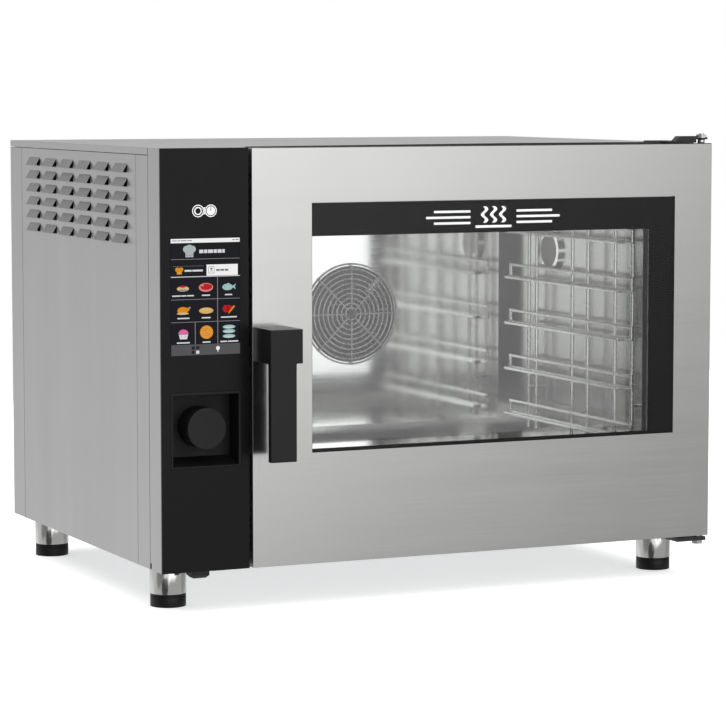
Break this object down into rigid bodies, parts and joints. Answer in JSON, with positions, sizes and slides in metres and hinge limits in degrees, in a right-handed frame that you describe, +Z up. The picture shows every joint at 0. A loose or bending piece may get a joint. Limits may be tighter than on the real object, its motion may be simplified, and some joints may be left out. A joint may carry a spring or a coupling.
{
  "type": "combi steamer oven",
  "caption": "Countertop combi steamer oven with glazed side-hinged door, swing handle, touch display, push-turn dial, convection fan, tray racks and adjustable legs.",
  "frame": {"origin": "middle of the bounding box's bottom face, on the worktop under the feet", "axes": "+X to the right seen from the front, +Y from the door towards the rear, +Z up"},
  "size_m": [0.852, 0.714, 0.639],
  "materials": {
    "satin_steel": "brushed stainless, satin",
    "door_steel": "fine brushed stainless",
    "cavity_steel": "bright 2B stainless",
    "galvanised": "galvanised sheet",
    "polished_steel": "polished stainless",
    "wire_steel": "electropolished wire",
    "motor_paint": "satin black paint",
    "bracket_black": "black powder coat",
    "panel_black": "satin black",
    "screen_glass": "dark cover glass",
    "module_grey": "moulded frame",
    "board_green": "solder mask",
    "pocket_black": "fine texture",
    "knob_black": "fine texture",
    "handle_black": "satin moulded",
    "cap_rubber": "matte rubber",
    "gasket_silicone": "silicone",
    "wool": "mineral wool",
    "clear_glass": "clear toughened",
    "coated_glass": "low-emissivity coated",
    "black_print": "ceramic print",
    "lamp_glass": "frosted borosilicate",
    "incoloy": "oxidised element sheath",
    "relay_cream": "moulded housing",
    "brass_nickel": "turned brass",
    "gland_black": "polyamide",
    "plunger_steel": "ground steel",
    "bush_bronze": "sintered bronze",
    "foot_black": "polyamide",
    "latch_steel": "zinc plated"
  },
  "bodies": {
    "cabinet": {"base_pan": "galvanised", "left_side_panel": "satin_steel", "right_side_panel": "satin_steel", "rear_corners": "satin_steel", "rear_panel": "satin_steel", "top_cover": "satin_steel", "front_frame": "satin_steel", "control_box": "satin_steel", "cavity_floor": "cavity_steel", "cavity_roof": "cavity_steel", "cavity_left_wall": "cavity_steel", "cavity_right_wall": "cavity_steel", "cavity_rear_wall": "cavity_steel", "insulation_blanket": "wool", "door_gasket": "gasket_silicone", "fan_baffle": "cavity_steel", "fan_guard": "wire_steel", "fan_motor": "motor_paint", "heating_element": "incoloy", "water_nozzle": "wire_steel", "drain_strainer": "cavity_steel", "drain_pipe": "cavity_steel", "exhaust_pipe": "cavity_steel", "lamp_bezel": "cavity_steel", "lamp_lens": "lamp_glass", "left_rack": "wire_steel", "right_rack": "wire_steel", "control_fascia": "panel_black", "touch_display": "screen_glass", "display_module": "module_grey", "control_board": "board_green", "knob_pocket": "pocket_black", "encoder_body": "module_grey", "socket_caps": "cap_rubber", "electronics_plate": "galvanised", "contactors": "relay_cream", "water_inlets": "brass_nickel", "cable_gland": "gland_black", "foot_sleeves": "polished_steel", "hinge_bracket_top": "bracket_black", "hinge_bracket_bottom": "bracket_black", "hinge_pins": "polished_steel", "latch_keeper": "latch_steel"},
    "door": {"door_skin": "door_steel", "door_inner_pan": "cavity_steel", "outer_glass": "clear_glass", "glass_print": "black_print", "inner_glass": "coated_glass", "latch_housing": "galvanised", "hinge_bushes": "bush_bronze"},
    "door_handle": {"handle": "handle_black", "latch_spindle": "latch_steel"},
    "encoder": {"encoder_plunger": "plunger_steel"},
    "dial": {"knob": "knob_black"},
    "fan": {"fan_wheel": "cavity_steel"},
    "leg_front_left": {"foot_front_left": "foot_black"},
    "leg_front_right": {"foot_front_right": "foot_black"},
    "leg_rear_left": {"foot_rear_left": "foot_black"},
    "leg_rear_right": {"foot_rear_right": "foot_black"}
  },
  "joints": [
    {"name": "door_swing", "type": "hinge", "parent": "cabinet", "child": "door", "pos_m": [0.4155, -0.2885, 0.3411], "axis": [0, 0, 1], "range_deg": [0, 120]},
    {"name": "handle_turn", "type": "hinge", "parent": "door", "child": "door_handle", "pos_m": [-0.2615, -0.321, 0.3615], "axis": [0, -1, 0], "range_deg": [0, 90]},
    {"name": "knob_push", "type": "slide", "parent": "cabinet", "child": "encoder", "axis": [0, 1, 0], "range_m": [0, 0.0015], "stiffness_N_per_m": 900},
    {"name": "knob_turn", "type": "hinge", "parent": "encoder", "child": "dial", "pos_m": [-0.3555, -0.291, 0.251], "axis": [0, 1, 0], "continuous": true},
    {"name": "fan_spin", "type": "hinge", "parent": "cabinet", "child": "fan", "pos_m": [0.0737, 0.229, 0.3576], "axis": [0, 1, 0], "continuous": true},
    {"name": "leg_front_left_adjust", "type": "slide", "parent": "cabinet", "child": "leg_front_left", "axis": [0, 0, -1], "range_m": [0, 0.012]},
    {"name": "leg_front_right_adjust", "type": "slide", "parent": "cabinet", "child": "leg_front_right", "axis": [0, 0, -1], "range_m": [0, 0.012]},
    {"name": "leg_rear_left_adjust", "type": "slide", "parent": "cabinet", "child": "leg_rear_left", "axis": [0, 0, -1], "range_m": [0, 0.012]},
    {"name": "leg_rear_right_adjust", "type": "slide", "parent": "cabinet", "child": "leg_rear_right", "axis": [0, 0, -1], "range_m": [0, 0.012]}
  ]
}
